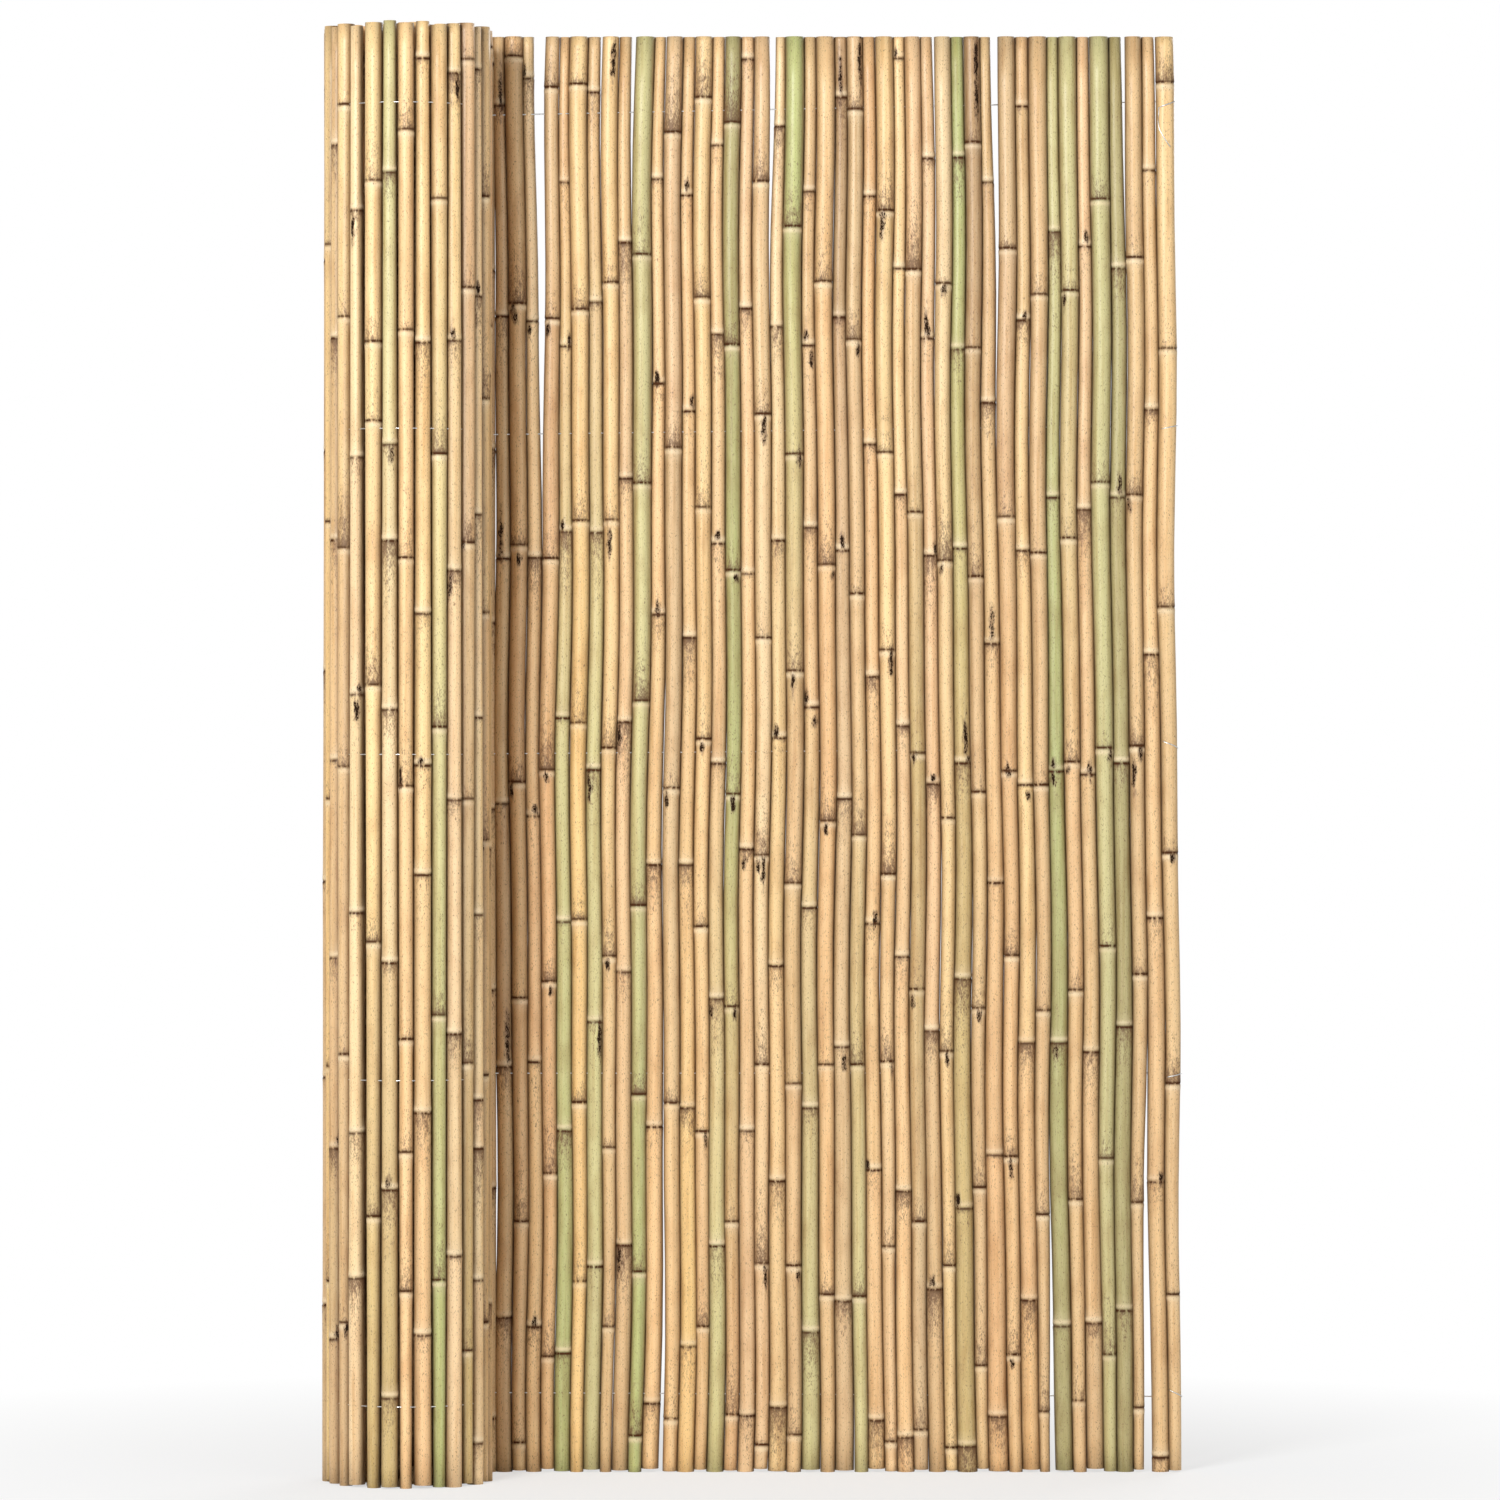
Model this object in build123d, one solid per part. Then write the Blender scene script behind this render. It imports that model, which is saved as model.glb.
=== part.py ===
from build123d import *
from math import atan2, cos, degrees, hypot, pi, radians, sin, tan
from typing import NamedTuple
import os

# Rolled bamboo fence: tapering canes threaded on five wires, one end rolled up and the rest standing open.
# Millimetres. +X runs along the open part, +Y to its back, +Z up; the origin is under the middle of the fence.

# Whole fence
fence_height = 1829.0
fence_length = 2438.0  # along the wires, laid out flat
core_radius = 34.0  # from the axis of the roll to the last cane wound in

# Canes
cane_sides = 8
inner_cane_sides = 6
cane_clearance = 0.4  # least space between neighbours
turn_clearance = 0.2  # least space between the turns of the roll
mid_swell = 2.0  # how much thicker a cane is at half height than a straight taper
joint_rise = 0.6  # how far the ridge at a joint stands out
joint_ledge = 2.0  # height of the step on the tip side of the ridge
joint_to_wire = 12.0  # no joint is closer to a drilled hole
foot_steps = (0.0, 2.0, 0.0, 4.0, 1.0, 0.0, 3.0)  # the canes were not all cut to one length

# Canes of the roll, and those behind it
butt_diameter = 21.0
tip_diameter = 16.0
diameter_steps = (0.0, -1.0, 0.5, -0.5, 1.0)
inner_butt_diameter = 18.0
inner_tip_diameter = 16.0
hidden_canes = 5  # of the open part, behind the roll
hidden_gaps = (0.5, 0.5, 0.5)  # between those, at foot, middle and top
roll_gaps = {12: 2.0, 14: 5.5}  # wider gaps of the outer turn, by cane from its back
roll_joints = (1180.0, 420.0, 900.0, 260.0, 1430.0)  # heights of the ridges on the outer turn, in turn
plain_angle = 112.0  # no ridges where the outer turn faces the open part, to each side
top_steps = (0.0, 3.0, 1.0, 5.0, 2.0)  # how far the roll's cane tops stay below the height

# Binding wires, top row first
wire_diameter = 1.5
wire_end_distance = 101.6  # from the cane ends to the outer rows
wire_climb = (20.0, 13.0, 8.0, 0.0, -6.0)  # of a row along the open part
wrap_fall = (9.0, 5.0, -9.0, 5.0, -9.0)  # of the wrap across the front of the end cane, right to left
wire_clearance = 0.12  # round a wire in its hole, and under a wrap


class Cane(NamedTuple):
    """A cane of the open part as the photo shows it."""
    foot: float  # diameter
    top: float  # diameter
    gaps: tuple  # space to the cane on its left at foot, middle and top
    joints: tuple  # heights of its main joints


# The 44 canes in view from left to right, by eye; thick ends stand down and up in turn
open_canes = (
    Cane(19.0, 14.0, (0.5, 0.5, 0.5), (196, 851, 1472)),
    Cane(13.5, 21.5, (5.0, 3.0, 2.0), (605, 1182)),
    Cane(17.0, 14.0, (3.0, 1.0, 0.5), (184, 835, 1466)),
    Cane(14.5, 17.5, (3.0, 1.0, 15.0), (626, 1165)),
    Cane(19.5, 12.0, (1.5, 2.0, 1.5), (434, 960, 1434)),
    Cane(14.5, 22.0, (2.0, 0.5, 0.5), (705, 1213)),
    Cane(20.0, 14.0, (1.5, 0.5, 0.5), (261, 894, 1490)),
    Cane(13.5, 18.5, (0.5, 0.5, 5.0), (658, 1214)),
    Cane(20.5, 14.0, (1.5, 0.5, 2.0), (288, 955, 1566)),
    Cane(15.0, 22.0, (1.5, 0.5, 7.0), (723, 1261)),
    Cane(19.5, 12.5, (3.0, 0.5, 2.5), (439, 1092, 1647)),
    Cane(16.5, 18.0, (7.0, 5.0, 3.0), (471, 1306)),
    Cane(20.0, 13.5, (1.5, 1.0, 3.5), (159, 773, 1351)),
    Cane(13.5, 19.5, (2.5, 0.5, 1.5), (696, 1230)),
    Cane(20.5, 14.0, (1.0, 1.0, 2.0), (287, 902, 1449)),
    Cane(15.0, 17.5, (1.0, 0.5, 2.0), (594, 1150)),
    Cane(19.5, 14.5, (0.5, 0.5, 1.5), (71, 793, 1482)),
    Cane(15.0, 18.0, (1.0, 0.5, 1.5), (519, 1349)),
    Cane(22.5, 12.0, (0.5, 0.5, 7.0), (370, 923, 1459)),
    Cane(17.0, 22.0, (1.5, 1.0, 1.5), (504, 1298)),
    Cane(21.5, 14.5, (1.5, 0.5, 1.5), (463, 974, 1435)),
    Cane(16.0, 21.5, (3.0, 0.5, 0.5), (517, 1157)),
    Cane(21.5, 14.0, (0.5, 0.5, 1.5), (217, 857, 1471)),
    Cane(14.5, 17.5, (4.0, 0.5, 1.5), (510, 1120)),
    Cane(20.0, 13.5, (1.0, 0.5, 1.5), (65, 698, 1321)),
    Cane(13.5, 19.5, (1.0, 0.5, 2.5), (524, 1300)),
    Cane(20.5, 12.0, (1.5, 1.5, 4.0), (357, 950, 1533)),
    Cane(14.5, 18.5, (2.5, 0.5, 2.0), (616, 1224)),
    Cane(19.5, 13.5, (4.0, 0.5, 0.5), (232, 876, 1444)),
    Cane(13.5, 18.5, (0.5, 0.5, 5.0), (537, 1162)),
    Cane(23.5, 15.0, (2.0, 0.5, 1.5), (335, 909, 1430)),
    Cane(13.5, 19.0, (1.0, 0.5, 1.0), (592, 1142)),
    Cane(23.5, 13.5, (0.5, 0.5, 0.5), (70, 750, 1362)),
    Cane(14.5, 20.5, (4.0, 0.5, 9.0), (659, 1218)),
    Cane(22.5, 14.5, (1.0, 0.5, 3.0), (218, 875, 1467)),
    Cane(12.5, 21.5, (1.0, 1.5, 3.0), (589, 1172)),
    Cane(21.5, 14.0, (8.0, 1.0, 1.0), (185, 892, 1580)),
    Cane(14.5, 21.0, (3.5, 0.5, 3.0), (615, 1191)),
    Cane(21.5, 14.0, (1.5, 0.5, 1.0), (189, 888, 1561)),
    Cane(15.5, 22.5, (0.5, 0.5, 4.0), (671, 1262)),
    Cane(21.5, 15.5, (1.0, 2.5, 0.5), (205, 904, 1533)),
    Cane(12.5, 20.0, (0.5, 0.5, 6.0), (635, 1246)),
    Cane(21.5, 14.5, (11.0, 1.0, 1.0), (369, 1041)),
    Cane(15.0, 21.0, (0.5, 0.5, 5.5), (506, 1103)),
)


class Ring(NamedTuple):
    """A cross-section of a cane: its height, its centre and the distance from there to its flats."""
    z: float
    x: float
    y: float
    radius: float


# Wire rows: height at the roll, and at the end cane
row_count = len(wire_climb)
row_step = (fence_height - 2 * wire_end_distance) / (row_count - 1)
row_heights = [fence_height - wire_end_distance - row_step * row for row in range(row_count)]
wire_side_radius = wire_diameter * 0.78  # corner radius of a three-sided wire of the same section


def clear_of_wires(height):
    """A joint's height, moved up or down where a hole would be drilled into the joint."""
    for low, climb in zip(row_heights, wire_climb):
        bottom = min(low, low + climb) - joint_to_wire
        top = max(low, low + climb) + joint_to_wire
        if bottom < height < top:
            height = bottom if height < (bottom + top) / 2 else top
    return height


def cane_rings(foot, top, joints, foot_z, top_z):
    """Rings of an upright cane at x = y = 0, from the foot up, with a ridge at each joint."""

    def ring(z, sunk):
        share = z / fence_height
        diameter = foot + (top - foot) * share + mid_swell * 4 * share * (1 - share)
        return Ring(z, 0.0, 0.0, diameter / 2 - sunk)

    tip_side = joint_ledge if foot > top else -joint_ledge
    rings = [ring(foot_z, joint_rise / 2), ring(top_z, joint_rise / 2)]
    for height in joints:
        rings.append(ring(height, 0.0))
        rings.append(ring(height + tip_side, joint_rise))
    return sorted(rings)


def ring_at(rings, z):
    """The cross-section of a cane at any height."""
    z = min(max(z, rings[0].z), rings[-1].z)
    for low, high in zip(rings, rings[1:]):
        if z <= high.z:
            share = (z - low.z) / (high.z - low.z)
            return Ring(*(a + (b - a) * share for a, b in zip(low, high)))


def moved(rings, x, y):
    """The same cane in another place."""
    return [Ring(ring.z, ring.x + x, ring.y + y, ring.radius) for ring in rings]


def beside(left, rings, gaps):
    """An upright cane stood to the right of another and bent to the gaps at foot, middle and top."""
    heights = [rings[0].z, fence_height / 2, rings[-1].z]
    places = []
    for z, gap in zip(heights, gaps):
        one, other = ring_at(left, z), ring_at(rings, z)
        places.append(one.x + one.radius + gap + other.radius)
    bent = []
    for ring in rings:
        low = 0 if ring.z < heights[1] else 1
        share = (ring.z - heights[low]) / (heights[low + 1] - heights[low])
        bent.append(ring._replace(x=places[low] + (places[low + 1] - places[low]) * share))
    short = 0.0
    for z in [ring.z for ring in left + bent]:
        one, other = ring_at(left, z), ring_at(bent, z)
        short = max(short, one.x + one.radius + cane_clearance + other.radius - other.x)
    return moved(bent, short, 0.0)


def cane_solid(rings, sides, turn=0.0):
    """Straight-sided lengths from ring to ring; with no turn, two flats face along X."""
    sections = []
    for ring in rings:
        outline = RegularPolygon(ring.radius, sides, major_radius=False, rotation=turn + 180 / sides)
        sections.append(Pos(ring.x, ring.y, ring.z) * outline)
    return loft(sections, ruled=True).solid()


def plain_cane(number, butt, tip, joints=()):
    """Rings of a cane of the roll; thick ends stand down and up in turn."""
    step = diameter_steps[number % len(diameter_steps)]
    foot, top = (butt + step, tip + step) if number % 2 else (tip + step, butt + step)
    foot_z = foot_steps[number % len(foot_steps)]
    top_z = fence_height - top_steps[number % len(top_steps)]
    return cane_rings(foot, top, joints, foot_z, top_z)


def reach(radius, sides, turn):
    """How far a cane reaches towards a neighbour that its flat is turned away from."""
    corner = pi / sides
    return radius / cos(corner) * cos(corner - min(turn, corner))


# The roll winds inwards from straight behind its axis, round by the left, the front and the right
outer_reach = (butt_diameter + max(diameter_steps)) / 2
inner_reach = (inner_butt_diameter + max(diameter_steps)) / 2 / cos(pi / inner_cane_sides)
turn_pitch = max(outer_reach, inner_reach) + inner_reach + turn_clearance


def roll_place(angle):
    """Centre of a cane of the roll, by degrees wound in from the back."""
    radius = roll_radius - turn_pitch * angle / 360
    return (-radius * sin(radians(angle)), radius * cos(radians(angle)) - roll_radius)


def roll_sides(angle):
    return cane_sides if angle < 360 else inner_cane_sides


def roll_cane(number, angle):
    """Rings of a cane of the roll, standing in its place."""
    if angle >= 360:
        rings = plain_cane(number, inner_butt_diameter, inner_tip_diameter)
    elif plain_angle < angle < 360 - plain_angle:
        rings = plain_cane(number, butt_diameter, tip_diameter, (roll_joints[number % len(roll_joints)],))
    else:
        rings = plain_cane(number, butt_diameter, tip_diameter)
    return moved(rings, *roll_place(angle))


def next_angle(number, angle):
    """Where the next cane of the roll stands: as close to the last one as its flats and corners let it."""
    last, rings = roll_cane(number - 1, angle), roll_cane(number, angle)
    heights = [ring.z for ring in last + rings]
    pairs = [(ring_at(last, z).radius, ring_at(rings, z).radius) for z in heights]
    gap = roll_gaps.get(number, cane_clearance)
    x, y = roll_place(angle)
    step = 0.0
    apart, needed = 0.0, 1.0
    while apart < needed:
        step += 0.05
        turn = radians(step) / 2
        sides = roll_sides(angle), roll_sides(angle + step)
        needed = gap + max(reach(one, sides[0], turn) + reach(other, sides[1], turn) for one, other in pairs)
        next_x, next_y = roll_place(angle + step)
        apart = hypot(next_x - x, next_y - y)
    return angle + step


# The open part, from the first cane of the roll to the right
first_rings = plain_cane(0, butt_diameter, tip_diameter)
hidden_rings = []
left_rings = first_rings
for number in range(1, hidden_canes + 1):
    left_rings = beside(left_rings, plain_cane(number, butt_diameter, tip_diameter), hidden_gaps)
    hidden_rings.append(left_rings)
open_rings = []
for number, cane in enumerate(open_canes):
    foot_z = foot_steps[number % len(foot_steps)]
    joints = [clear_of_wires(height) for height in cane.joints]
    rings = cane_rings(cane.foot, cane.top, joints, foot_z, fence_height)
    left_rings = beside(left_rings, rings, cane.gaps)
    open_rings.append(left_rings)

# The rest of the length is wound up, and with the core it sets the size of the roll
wound_length = fence_length - ring_at(open_rings[-1], fence_height / 2).x
roll_radius = (core_radius**2 + turn_pitch * wound_length / pi) ** 0.5
angles = [0.0]
wound = 0.0
while wound < wound_length:
    angles.append(next_angle(len(angles), angles[-1]))
    (x0, y0), (x1, y1) = roll_place(angles[-2]), roll_place(angles[-1])
    wound += hypot(x1 - x0, y1 - y0)
roll_rings = [roll_cane(number, angle) for number, angle in enumerate(angles)]

# Wires: a straight run through the open part
end_rings = open_rings[-1]
run_start = first_rings[0].x + max(ring.radius for ring in first_rings) + wire_clearance


def run_plane(row):
    """Across a wire at the roll end of its run, facing along it."""
    climb = wire_climb[row]
    end = ring_at(end_rings, row_heights[row] + climb)
    return Plane((run_start, 0, row_heights[row]), x_dir=(0, 1, 0), z_dir=(end.x - run_start, 0, climb))


def run_bar(row, corner_radius, past_end):
    """A three-sided bar along a wire's run, to the right side of the end cane and on."""
    climb = wire_climb[row]
    end = ring_at(end_rings, row_heights[row] + climb)
    length = hypot(end.x + end.radius + past_end - run_start, climb)
    outline = RegularPolygon(corner_radius, 3, rotation=90, align=None)
    return extrude(run_plane(row) * outline, length).solid()


def end_wrap(row):
    """The wire's end, from the hole in the end cane round the front of that cane."""
    low = row_heights[row] + wire_climb[row]
    end = ring_at(end_rings, low)
    inner = end.radius + wire_clearance
    outer = inner + wire_diameter
    half_flat = pi / cane_sides
    corners = [half_flat, -half_flat, -3 * half_flat, -5 * half_flat]
    stretch = [1 / cos(half_flat)] * len(corners)
    corners.append(-6 * half_flat)
    stretch.append(1.0)
    sections = []
    for number, (corner, stretched) in enumerate(zip(corners, stretch)):
        z = low - wrap_fall[row] * max(number - 1, 0) / (len(corners) - 2)
        points = []
        for radius, rise in ((inner, -0.5), (outer, -0.5), (outer, 0.5), (inner, 0.5)):
            radius *= stretched
            points.append((end.x + radius * cos(corner), radius * sin(corner), z + rise * wire_diameter))
        sections.append(Face(Wire.make_polygon(points)))
    return loft(sections, ruled=True).solid()


def roll_spans(row):
    """The wire where it shows in the wider gaps of the outer turn."""
    spans = []
    z = row_heights[row]
    for number in roll_gaps:
        one, other = ring_at(roll_rings[number - 1], z), ring_at(roll_rings[number], z)
        distance = hypot(other.x - one.x, other.y - one.y)
        turn = radians(angles[number] - angles[number - 1]) / 2
        ends = one.radius / cos(turn) + wire_diameter * tan(turn) / 2 + wire_clearance
        length = distance - ends - (other.radius / cos(turn) + wire_diameter * tan(turn) / 2 + wire_clearance)
        start = Pos(one.x, one.y, z) * Rot(0, 0, degrees(atan2(other.y - one.y, other.x - one.x)))
        spans.append((start * Pos(ends + length / 2, 0, 0) * Box(length, wire_diameter, wire_diameter)).solid())
    return spans


def wire_solids(row):
    run = run_bar(row, wire_side_radius, wire_diameter / 2 + wire_clearance)
    return [(run + end_wrap(row)).solid()] + roll_spans(row)


def drilled(cane):
    """A cane of the open part with its five holes."""
    for hole in holes:
        cane = cane - hole
    return cane.solid()


holes = [run_bar(row, wire_side_radius + 2 * wire_clearance, wire_diameter) for row in range(row_count)]

nodes = {}
for number, rings in enumerate(open_rings, 1):
    nodes[f"cane_{number:02d}"] = [drilled(cane_solid(rings, cane_sides))]
nodes["canes_behind_roll"] = [drilled(cane_solid(rings, cane_sides)) for rings in hidden_rings]
for rings, angle in zip(roll_rings, angles):
    name = f"roll_turn_{int(angle // 360) + 1}"
    nodes.setdefault(name, []).append(cane_solid(rings, roll_sides(angle), angle))
for row in range(row_count):
    nodes[f"binding_wire_{row + 1}"] = wire_solids(row)

# Everything is moved so that the origin is under the middle of the fence
box = Compound([solid for solids in nodes.values() for solid in solids]).bounding_box()
centre = Pos(-(box.min.X + box.max.X) / 2, -(box.min.Y + box.max.Y) / 2, -box.min.Z)
os.makedirs("parts", exist_ok=True)
for name, solids in nodes.items():
    placed = [centre * solid for solid in solids]
    export_step(placed[0] if len(placed) == 1 else Compound(placed), f"parts/{name}.step")
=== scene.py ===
"""Dresses the rolled bamboo fence: round culms with joints, stains and hollow ends, and round wires."""

import math

import bpy
import numpy as np
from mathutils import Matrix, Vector


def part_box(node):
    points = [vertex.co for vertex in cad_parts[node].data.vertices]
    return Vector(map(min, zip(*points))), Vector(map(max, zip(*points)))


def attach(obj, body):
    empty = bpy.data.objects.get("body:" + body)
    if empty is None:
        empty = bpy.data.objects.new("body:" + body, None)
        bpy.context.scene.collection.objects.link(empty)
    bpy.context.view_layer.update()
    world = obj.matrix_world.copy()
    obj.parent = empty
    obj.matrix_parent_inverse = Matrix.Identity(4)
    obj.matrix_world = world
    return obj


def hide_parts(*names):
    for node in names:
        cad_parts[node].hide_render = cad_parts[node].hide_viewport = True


bl_info = {
    "name": "Rolled bamboo fence",
    "version": (1, 0, 0),
    "blender": (4, 5, 0),
    "location": "View3D > Sidebar > Fence",
    "description": "Builds the canes, binding wires and studio of a partly unrolled bamboo fence",
    "category": "Object",
}

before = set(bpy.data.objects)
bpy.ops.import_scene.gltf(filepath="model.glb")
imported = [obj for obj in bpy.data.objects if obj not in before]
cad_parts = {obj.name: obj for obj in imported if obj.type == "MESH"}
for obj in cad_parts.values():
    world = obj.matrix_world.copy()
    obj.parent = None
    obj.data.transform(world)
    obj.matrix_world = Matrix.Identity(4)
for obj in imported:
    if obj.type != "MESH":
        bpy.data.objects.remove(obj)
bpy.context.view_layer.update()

# Culm colours as they look in plain light: the foot to the top of a cane blends three of them
CULM_COLOURS = {
    "straw": (249, 211, 150),
    "pale": (250, 217, 166),
    "yellow": (249, 207, 136),
    "peach": (245, 202, 145),
    "pink": (241, 200, 150),
    "tan": (229, 190, 137),
    "orange": (237, 188, 131),
    "green": (186, 192, 121),
    "leaf": (180, 170, 112),
    "olive": (207, 179, 117),
    "greygreen": (211, 202, 141),
    "grey": (226, 190, 142),
    "brown": (186, 147, 102),
    "russet": (160, 124, 82),
}

# The canes of the open part from left to right: colours from the foot up
OPEN_TONES = (
    ("tan", "tan", "tan"), ("peach", "orange", "peach"), ("peach", "peach", "pale"),
    ("orange", "orange", "grey"), ("green", "greygreen", "peach"), ("yellow", "yellow", "straw"),
    ("greygreen", "greygreen", "tan"), ("tan", "straw", "straw"), ("tan", "pink", "tan"),
    ("green", "greygreen", "greygreen"), ("peach", "peach", "peach"), ("peach", "grey", "grey"),
    ("yellow", "peach", "peach"), ("peach", "straw", "straw"), ("greygreen", "tan", "peach"),
    ("orange", "green", "leaf"), ("pink", "peach", "pink"), ("pink", "pale", "pink"),
    ("straw", "straw", "pale"), ("tan", "tan", "green"), ("greygreen", "tan", "tan"),
    ("peach", "orange", "peach"), ("grey", "grey", "brown"), ("greygreen", "tan", "grey"),
    ("peach", "peach", "orange"), ("pink", "straw", "straw"), ("peach", "pink", "straw"),
    ("grey", "olive", "pink"), ("tan", "pink", "pink"), ("straw", "straw", "pale"),
    ("olive", "olive", "green"), ("tan", "tan", "brown"), ("orange", "peach", "tan"),
    ("peach", "orange", "grey"), ("orange", "straw", "tan"), ("tan", "tan", "tan"),
    ("leaf", "green", "greygreen"), ("peach", "peach", "greygreen"), ("tan", "tan", "pink"),
    ("greygreen", "greygreen", "greygreen"), ("leaf", "leaf", "leaf"), ("tan", "tan", "tan"),
    ("peach", "peach", "peach"), ("tan", "tan", "straw"),
)

# Joints of those canes, in rows of the photo; its row 1471 is the floor and a row is 1.2755 mm
FLOOR_ROW = 1471
ROW_HEIGHT = 0.0012755
OPEN_JOINTS = (
    (106, 317, 559, 804, 1067, 1317), (56, 303, 544, 781, 997, 1220, 1441), (79, 322, 558, 816, 1062, 1327),
    (87, 318, 558, 769, 980, 1172, 1355), (183, 347, 532, 718, 922, 1131, 1353),
    (84, 309, 520, 722, 918, 1101, 1280), (93, 303, 533, 770, 1022, 1266), (282, 519, 747, 955, 1146, 1325),
    (243, 479, 722, 972, 1245), (254, 482, 700, 904, 1093, 1270, 1434), (180, 384, 615, 865, 1127, 1403),
    (132, 447, 787, 1102, 1417), (196, 412, 638, 865, 1108, 1346), (97, 297, 507, 738, 925, 1130, 1325),
    (146, 335, 544, 764, 999, 1246), (122, 344, 569, 793, 1005, 1220, 1413),
    (60, 309, 574, 849, 1131, 1415),
    (181, 413, 637, 854, 1064, 1262, 1443), (127, 327, 541, 747, 966, 1181, 1407),
    (226, 453, 670, 882, 1076, 1264, 1433), (45, 192, 346, 528, 707, 908, 1108, 1332),
    (281, 564, 820, 1066, 1293), (98, 318, 551, 799, 1047, 1301), (109, 339, 593, 834, 1071, 1295),
    (197, 435, 677, 924, 1170, 1420), (210, 452, 649, 873, 1060, 1245, 1440),
    (59, 269, 495, 726, 957, 1191, 1437),
    (269, 511, 752, 988, 1220, 1428), (159, 339, 556, 784, 1031, 1289), (283, 560, 817, 1050, 1264, 1446),
    (158, 350, 549, 758, 979, 1208, 1446), (142, 347, 576, 791, 1007, 1186, 1364),
    (183, 403, 644, 883, 1155, 1416),
    (248, 516, 770, 954, 1155, 1353), (107, 321, 551, 785, 1043, 1300),
    (39, 294, 552, 784, 1009, 1213, 1410),
    (232, 498, 772, 1043, 1326), (43, 290, 537, 761, 989, 1198, 1399), (247, 510, 775, 1052, 1323),
    (199, 482, 747, 945, 1157, 1353), (38, 269, 498, 762, 1027, 1310), (257, 494, 745, 973, 1201, 1406),
    (171, 410, 655, 918, 1182, 1457), (82, 348, 606, 852, 1074, 1293),
)

# The canes at the front of the roll, counted along its outer turn from the back: colours and joints
ROLL_TONES = {
    9: ("tan", "peach", "tan"), 10: ("tan", "tan", "straw"), 11: ("pale", "pale", "pale"),
    12: ("olive", "straw", "straw"), 13: ("olive", "pale", "greygreen"), 14: ("peach", "peach", "peach"),
    15: ("peach", "straw", "straw"), 16: ("green", "greygreen", "straw"), 17: ("pale", "pale", "straw"),
    18: ("olive", "grey", "pink"), 19: ("pale", "pale", "pale"), 20: ("tan", "tan", "tan"),
    21: ("tan", "tan", "tan"),
}
ROLL_JOINTS = {
    10: (104, 316, 547, 796, 1053, 1321), 11: (211, 458, 695, 913, 1133, 1325),
    12: (180, 420, 684, 941, 1215),
    13: (173, 445, 710, 963, 1190, 1398), 14: (129, 329, 557, 785, 1038, 1290),
    15: (59, 343, 614, 875, 1113, 1335),
    16: (198, 453, 726, 1014, 1305), 17: (74, 322, 571, 800, 1034, 1256),
    18: (59, 287, 530, 798, 1062, 1349),
    19: (70, 297, 515, 718, 915, 1100, 1280, 1443), 20: (196, 398, 612, 839, 1074, 1321),
    21: (375, 849, 1304),
}

# Black scars that branches left at the joints, by cane: the middle and the length, in rows of the photo
OPEN_SCARS = {
    1: ((92, 45), (537, 45), (1040, 50)), 2: ((318, 14), (560, 12)), 3: ((330, 12),),
    4: ((330, 14), (990, 12)),
    7: ((785, 30), (1040, 36)), 8: ((60, 40), (542, 35), (965, 20)), 9: ((735, 20), (1262, 30)),
    12: ((800, 14),),
    14: ((747, 14), (1140, 16)), 15: ((1012, 18),), 17: ((862, 14),), 18: ((428, 30), (868, 28),
    (1276, 28)),
    20: ((680, 14), (1275, 12)), 21: ((360, 16), (722, 12)), 22: ((575, 10),), 23: ((75, 50), (1060, 16)),
    24: ((60, 60), (350, 14)), 26: ((224, 28), (663, 28)), 28: ((1000, 14),), 29: ((322, 25), (777, 8)),
    30: ((570, 10),), 31: ((735, 36),), 32: ((62, 60), (100, 40), (1015, 14)), 33: ((625, 32),),
    34: ((770, 12), (1168, 22)), 35: ((795, 10),), 37: ((778, 14), (1052, 12)), 38: ((770, 8),),
    39: ((237, 13), (770, 16)),
    41: ((485, 24),), 42: ((752, 14), (775, 30)), 44: ((858, 12),),
}
ROLL_SCARS = {
    11: ((228, 30), (710, 24)), 13: ((456, 16),), 14: ((775, 26),), 17: ((88, 26), (586, 26)),
    18: ((545, 14),),
    20: ((380, 36), (822, 40)), 21: ((830, 30),),
}


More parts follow.
